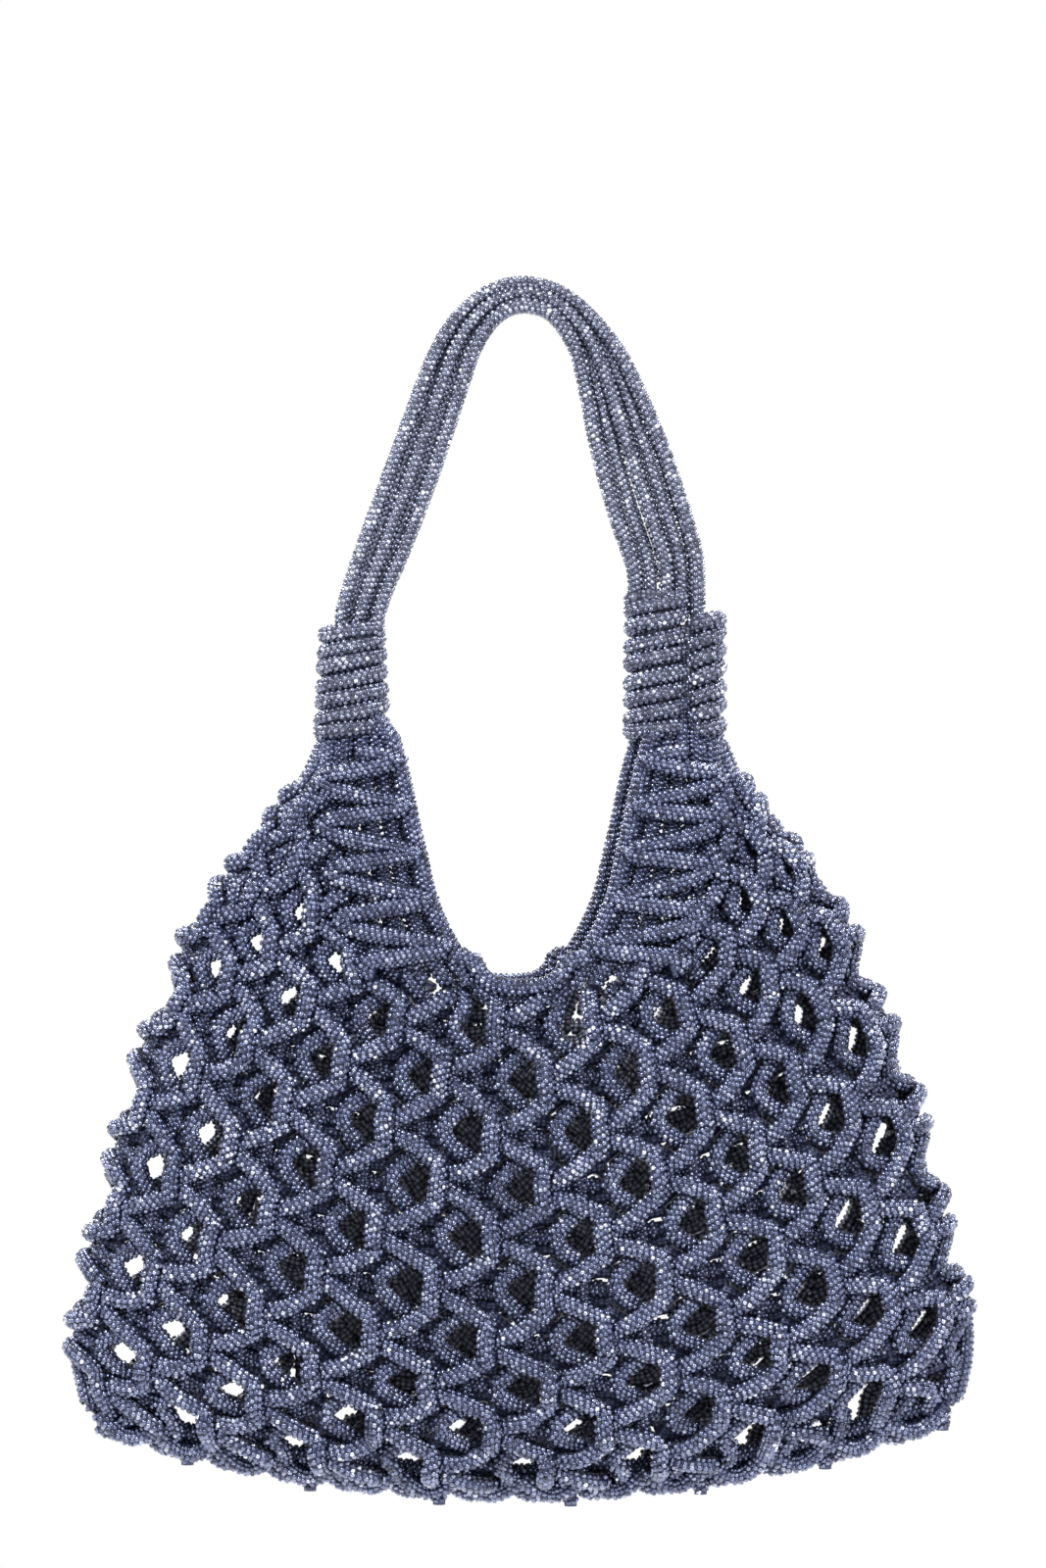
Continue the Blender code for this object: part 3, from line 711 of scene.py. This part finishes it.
def stones_of(cord):
    """Places on a cord's line, outward and lengthwise directions, and sample numbers of its stones."""
    line, rows = cord["line"], cord["rows"]
    along, side, other = frames_of(line)
    length = length_of(line)
    stations = int(length / STONE_PITCH)
    if not rows or stations < 1:
        return None
    row = np.arange(rows)[None, :]
    place = (np.arange(stations)[:, None] + FIRST_STONE + (row % STAGGER) / STAGGER) * STONE_PITCH
    place = np.clip(place + rng.uniform(-STONE_SLIDE, STONE_SLIDE, place.shape) * STONE_PITCH, 0, length)
    angle = 2 * np.pi * (row + rng.uniform(-STONE_SWING, STONE_SWING, place.shape)) / rows
    place, angle = place.ravel(), angle.ravel()
    scale = place / length * (len(line) - 1)
    low = np.clip(scale.astype(int), 0, len(line) - 2)
    part = (scale - low)[:, None]

    def read(a):
        return a[low] * (1 - part) + a[low + 1] * part

    direction = unit(read(side) * np.cos(angle)[:, None] + read(other) * np.sin(angle)[:, None])
    middle = read(line)
    keep = np.ones(len(middle), bool)
    if cord["out"] is not None:
        keep = np.einsum("ij,ij->i", direction, read(cord["out"])) > STONE_FACING
    return middle[keep], direction[keep], unit(read(along))[keep], low[keep]


def clearance(points, own, places, tree, owners):
    """Distance from each stone to the nearest other cord's core, up to CREASE; below zero is inside it."""
    found = np.full(len(points), CREASE)
    for i, p in enumerate(points):
        for _, index, distance in tree.find_range(p, CORD_RADIUS + CREASE):
            cord, spot, radius = owners[index]
            if cord != own or abs(spot - places[i]) > OWN_SAMPLES:
                found[i] = min(found[i], distance - radius)
    return found


def tube_arrays(cord):
    """Vertices, quads, UVs and end triangles of the cord's core, and which quads face into the bag."""
    line = cord["line"]
    index = np.unique(np.concatenate((np.arange(0, len(line) - 1, TUBE_STEP), [len(line) - 1])))
    _, side, other = frames_of(line)
    sides = TUBE_SIDES if cord["rows"] else HIDDEN_SIDES
    angle = 2 * np.pi * np.arange(sides) / sides
    ring = side[index][:, None, :] * np.cos(angle)[None, :, None]
    ring = ring + other[index][:, None, :] * np.sin(angle)[None, :, None]
    verts = line[index][:, None, :] + ring * cord["radius"]
    rings = len(index)
    i, j = np.meshgrid(np.arange(rings - 1), np.arange(sides), indexing="ij")
    after = (j + 1) % sides
    low, high = i * sides, (i + 1) * sides
    quads = np.stack((low + j, low + after, high + after, high + j), axis=-1)
    run = index * SAMPLE
    around = 2 * np.pi * cord["radius"] / sides
    uv = np.stack([
        np.stack((run[i], j * around), axis=-1),
        np.stack((run[i], (j + 1) * around), axis=-1),
        np.stack((run[i + 1], (j + 1) * around), axis=-1),
        np.stack((run[i + 1], j * around), axis=-1),
    ], axis=2)
    start = (rings - 1) * sides
    caps = [(0, k + 1, k) for k in range(1, sides - 1)]
    caps += [(start, start + k, start + k + 1) for k in range(1, sides - 1)]
    inward = np.zeros((rings - 1, sides), bool)
    if cord["out"] is not None:
        facing = np.einsum("ijk,ik->ij", ring, cord["out"][index])[:-1]
        inward = np.minimum(facing, np.roll(facing, -1, axis=1)) < INNER_FACING
    return verts.reshape(-1, 3), quads.reshape(-1, 4), uv.reshape(-1, 2), np.array(caps), inward.ravel()


def stone_arrays(middle, direction, along, radius):
    """Vertices and triangles of faceted stones: a low cone cut flat on top."""
    count, n = len(middle), STONE_SIDES
    cross = np.cross(direction, along)
    spin = rng.uniform(0, 2 * np.pi, count)
    lean = rng.normal(0, STONE_LEAN, (count, 2))
    up = unit(direction + cross * lean[:, :1] + along * lean[:, 1:])
    right = unit(np.cross(up, along))
    front = np.cross(up, right)
    step = 2 * np.pi * np.arange(n) / n
    verts = np.empty((count, 2 * n, 3))
    seat = middle + direction * radius
    for ring, (share, height, shift) in enumerate(STONE_RINGS):
        angle = spin[:, None] + step[None, :] + shift * 2 * np.pi / n
        disc = right[:, None, :] * np.cos(angle)[..., None] + front[:, None, :] * np.sin(angle)[..., None]
        around = disc * STONE_RADIUS * share
        verts[:, ring * n:(ring + 1) * n] = seat[:, None, :] + up[:, None, :] * height + around
    faces = []
    for k in range(n):
        faces.append((k, (k + 1) % n, n + k))
        faces.append(((k + 1) % n, n + (k + 1) % n, n + k))
    faces += [(n, n + k, n + k + 1) for k in range(1, n - 1)]
    tris = np.arange(count)[:, None, None] * (2 * n) + np.array(faces)[None]
    return verts.reshape(-1, 3), tris.reshape(-1, 3)


def stone_tones(cord, place, gap):
    """Lightness of each stone: its own random tone with a slow drift along the cord, plus its cord's tone,
    which on some cords is painted light or shade, and painted shade in a crease, darker near another cord.
    """
    steps = np.arange(0, len(cord["line"]) + TONE_RUN, TONE_RUN)
    drift = np.interp(place, steps, rng.normal(0, TONE_DRIFT, len(steps)))
    tone = rng.beta(*TONE_SPREAD, len(place)) + cord["tone"] + drift
    # Painted shade: the nearer another cord, the darker the stone
    return np.clip(tone * (CREASE_SHADE + (1 - CREASE_SHADE) * gap / CREASE), 0, 1)


def write_mesh(name, points, quads, tris, slots, uvs, tones):
    """Mesh of quads, then triangles, with the cords' UVs on the quads and a tone at each vertex."""
    mesh = bpy.data.meshes.new(name)
    mesh.vertices.add(len(points))
    mesh.vertices.foreach_set("co", points.astype(np.float32).ravel())
    corners = np.concatenate((quads.ravel(), tris.ravel()))
    mesh.loops.add(len(corners))
    mesh.loops.foreach_set("vertex_index", corners.astype(np.int32))
    starts = np.concatenate((np.arange(len(quads)) * 4, len(quads) * 4 + np.arange(len(tris)) * 3))
    mesh.polygons.add(len(starts))
    mesh.polygons.foreach_set("loop_start", starts.astype(np.int32))
    mesh.polygons.foreach_set("use_smooth", np.ones(len(starts), bool))
    mesh.polygons.foreach_set("material_index", slots.astype(np.int32))
    layer = mesh.uv_layers.new(name="cord")
    flat = np.zeros((len(corners), 2))
    flat[: len(quads) * 4] = uvs
    layer.data.foreach_set("uv", flat.astype(np.float32).ravel())
    tone_layer = mesh.attributes.new("tone", "FLOAT", "POINT")
    tone_layer.data.foreach_set("value", tones.astype(np.float32))
    mesh.update()
    mesh.validate()
    return mesh


def build_piece(name, members, tree, owners, materials):
    """One joined mesh: the cores of the cords, then their stones."""
    verts, uvs, tones, quads, tris, inward = [], [], [], [], [], []
    offset = 0
    for cord in members:
        v, q, uv, caps, inner = tube_arrays(cord)
        verts.append(v)
        quads.append(q + offset)
        tris.append(caps + offset)
        uvs.append(uv)
        inward.append(inner)
        tones.append(np.full(len(v), CORE_TONE + cord["tone"]))
        offset += len(v)
    capped = sum(len(t) for t in tris)
    for cord in members:
        found = stones_of(cord)
        if found is None:
            continue
        middle, direction, along, place = found
        tips = middle + direction * (cord["radius"] + STONE_RISE)
        gap = clearance(tips, cord["number"], place, tree, owners)
        seen = gap > 0.0
        v, t = stone_arrays(middle[seen], direction[seen], along[seen], cord["radius"])
        verts.append(v)
        tris.append(t + offset)
        tones.append(np.repeat(stone_tones(cord, place[seen], gap[seen]), 2 * STONE_SIDES))
        offset += len(v)
    all_quads, all_tris = np.concatenate(quads), np.concatenate(tris)
    slots = np.zeros(len(all_quads) + len(all_tris), int)
    slots[: len(all_quads)] = np.where(np.concatenate(inward), 2, 0)
    slots[len(all_quads) + capped:] = 1
    points, all_uvs, all_tones = np.concatenate(verts), np.concatenate(uvs), np.concatenate(tones)
    mesh = write_mesh(name, points, all_quads, all_tris, slots, all_uvs, all_tones)
    for material in materials:
        mesh.materials.append(material)
    made = bpy.data.objects.new(name, mesh)
    bpy.context.scene.collection.objects.link(made)
    return made


def new_material(name):
    """A new material, its nodes, its links and its shader."""
    made = bpy.data.materials.new(name)
    made.use_nodes = True
    nodes, links = made.node_tree.nodes, made.node_tree.links
    return made, nodes, links, nodes["Principled BSDF"]


def colour_ramp(nodes, steps):
    """Ramp through (place, colour) steps."""
    ramp = nodes.new("ShaderNodeValToRGB")
    stops = ramp.color_ramp.elements
    for stop, (place, colour) in zip(stops, (steps[0], steps[-1])):
        stop.position = place
        stop.color = (*colour, 1)
    for place, colour in steps[1:-1]:
        stops.new(place).color = (*colour, 1)
    return ramp


def stone_material(name, light, grey):
    """Faceted crystals. light: how much brighter, grey: how much less blue than the net's."""
    made, nodes, links, shader = new_material(name)
    # The tone holds each stone's random tone and also painted light and shade: darker in creases and on the
    # cords that lie deeper, a little lighter on the front cords, and near white at the top of the ramp as a
    # painted glint
    tone = nodes.new("ShaderNodeAttribute")
    tone.attribute_name = "tone"
    steps = (
        (0.00, (0.016, 0.021, 0.055)),
        (0.30, (0.068, 0.083, 0.168)),
        (0.55, (0.136, 0.159, 0.275)),
        (0.80, (0.245, 0.272, 0.395)),
        # Near white: stones painted as if glinting, a painted glint
        (1.00, (0.680, 0.700, 0.790)),
    )
    steps = [(at, [light * (c + grey * (sum(rgb) / 3 - c)) for c in rgb]) for at, rgb in steps]
    ramp = colour_ramp(nodes, steps)
    links.new(tone.outputs["Fac"], ramp.inputs["Fac"])
    links.new(ramp.outputs["Color"], shader.inputs["Base Color"])
    shader.inputs["Metallic"].default_value = 0.80
    shader.inputs["Roughness"].default_value = 0.22
    shader.inputs["Coat Weight"].default_value = 1.0
    shader.inputs["Coat Roughness"].default_value = 0.08
    return made


def core_material(name, bright, dark):
    """Mesh of the tube under and between the stones, with the rows of stones as relief."""
    made, nodes, links, shader = new_material(name)
    place = nodes.new("ShaderNodeUVMap")
    place.uv_map = "cord"
    cells = nodes.new("ShaderNodeTexVoronoi")
    cells.voronoi_dimensions = "2D"
    cells.inputs["Scale"].default_value = 1 / STONE_PITCH
    cells.inputs["Randomness"].default_value = 0.25
    links.new(place.outputs["UV"], cells.inputs["Vector"])
    ramp = colour_ramp(nodes, ((0.10, bright), (0.5, dark)))
    links.new(cells.outputs["Distance"], ramp.inputs["Fac"])
    links.new(ramp.outputs["Color"], shader.inputs["Base Color"])
    bump = nodes.new("ShaderNodeBump")
    bump.invert = True
    bump.inputs["Distance"].default_value = 0.8 * MM
    links.new(cells.outputs["Distance"], bump.inputs["Height"])
    links.new(bump.outputs["Normal"], shader.inputs["Normal"])
    shader.inputs["Metallic"].default_value = 0.4
    shader.inputs["Roughness"].default_value = 0.35
    return made


def floor_material():
    made, _, _, shader = new_material("pale_floor")
    shader.inputs["Base Color"].default_value = (0.85, 0.85, 0.85, 1)
    shader.inputs["Roughness"].default_value = 0.9
    return made


def make_cords():
    make_net()
    make_rails()
    make_ladder("bars_front_left", -MOUTH_HALF, -1)
    make_ladder("bars_front_right", MOUTH_HALF, 1)
    make_ladder("bars_back_right", 2 * QUARTER - MOUTH_HALF, -1)
    make_ladder("bars_back_left", 2 * QUARTER + MOUTH_HALF, 1)
    make_bindings()
    make_strands()
    make_bottom()
    make_cord_ends()


def cord_tree():
    """Search tree of all the cords' points, and each point's cord, sample number and radius."""
    tree = KDTree(sum(len(c["line"]) for c in cords))
    owners = []
    for number, cord in enumerate(cords):
        cord["number"] = number
        for spot, p in enumerate(cord["line"]):
            tree.insert(p, len(owners))
            owners.append((number, spot, cord["radius"]))
    tree.balance()
    return tree, owners


def make_looks():
    """Materials of the cores, the stones and the cores' inward sides, for each kind of piece."""
    # On the cores' inward sides the stones are only painted: the bright cell middles are those stones painted
    # lighter as sparkle, a painted glint, and the dark between is the mesh
    inner = core_material("cord_insides_painted_sparkle", (0.270, 0.280, 0.370), (0.014, 0.015, 0.026))
    core = core_material("cord_cores", (0.065, 0.078, 0.160), (0.016, 0.020, 0.048))
    pale_core = core_material("strand_cores", (0.150, 0.160, 0.220), (0.050, 0.055, 0.085))
    net = (core, stone_material("crystal_stones", 1.0, 0.0), inner)
    wound = (pale_core, stone_material("binding_stones", 1.14, 0.22), inner)
    strand = (pale_core, stone_material("strand_stones", 1.22, 0.34), inner)
    return {"net": net, "bars": net, "cut": net, "wound": wound, "strand": strand}


def make_object():
    """All the pieces, each riding on the body and standing for its node."""
    make_cords()
    tree, owners = cord_tree()
    looks = make_looks()
    for name in sorted({c["piece"] for c in cords}):
        members = [c for c in cords if c["piece"] == name]
        kind = name.split("_")[0]
        made = build_piece(name, members, tree, owners, looks[kind])
        node = "net_body" if kind == "net" else name.replace(kind, NODE_STARTS[kind])
        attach(made, "root")
        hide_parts(node)


def area_light(name, place, size, power):
    data = bpy.data.lights.new(name, "AREA")
    data.shape = "DISK"
    data.size = size
    data.energy = power
    made = bpy.data.objects.new(name, data)
    made.location = place
    made.rotation_euler = (Vector(LIT_POINT) - Vector(place)).to_track_quat("-Z", "Y").to_euler()
    bpy.context.scene.collection.objects.link(made)


def make_stage():
    """Pale floor, white surroundings and four soft lights."""
    scene = bpy.context.scene
    mesh = bpy.data.meshes.new("floor")
    corners = [(x * FLOOR_HALF, y * FLOOR_HALF, FLOOR_Z) for x, y in ((-1, -1), (1, -1), (1, 1), (-1, 1))]
    mesh.from_pydata(corners, [], [(0, 1, 2, 3)])
    mesh.materials.append(floor_material())
    floor = bpy.data.objects.new("floor", mesh)
    scene.collection.objects.link(floor)
    world = bpy.data.worlds.new("studio")
    world.use_nodes = True
    world.node_tree.nodes["Background"].inputs["Color"].default_value = (1, 1, 1, 1)
    world.node_tree.nodes["Background"].inputs["Strength"].default_value = 1.0
    scene.world = world
    for light in LIGHTS:
        area_light(*light)
    scene.view_settings.view_transform = "Standard"


def make_camera():
    """Camera in front, with a lens that fits the picture's height at the bag."""
    data = bpy.data.cameras.new("camera")
    made = bpy.data.objects.new("camera", data)
    elevation = math.radians(CAMERA_ELEVATION)
    back = Vector((0, -math.cos(elevation), math.sin(elevation)))
    made.location = Vector(CAMERA_TARGET) + back * CAMERA_DISTANCE
    made.rotation_euler = (-back).to_track_quat("-Z", "Y").to_euler()
    data.lens = SENSOR_HEIGHT * CAMERA_DISTANCE / PICTURE_HEIGHT
    data.clip_start = 0.05
    data.clip_end = 20
    bpy.context.scene.collection.objects.link(made)
    bpy.context.scene.camera = made


make_object()
make_stage()
make_camera()
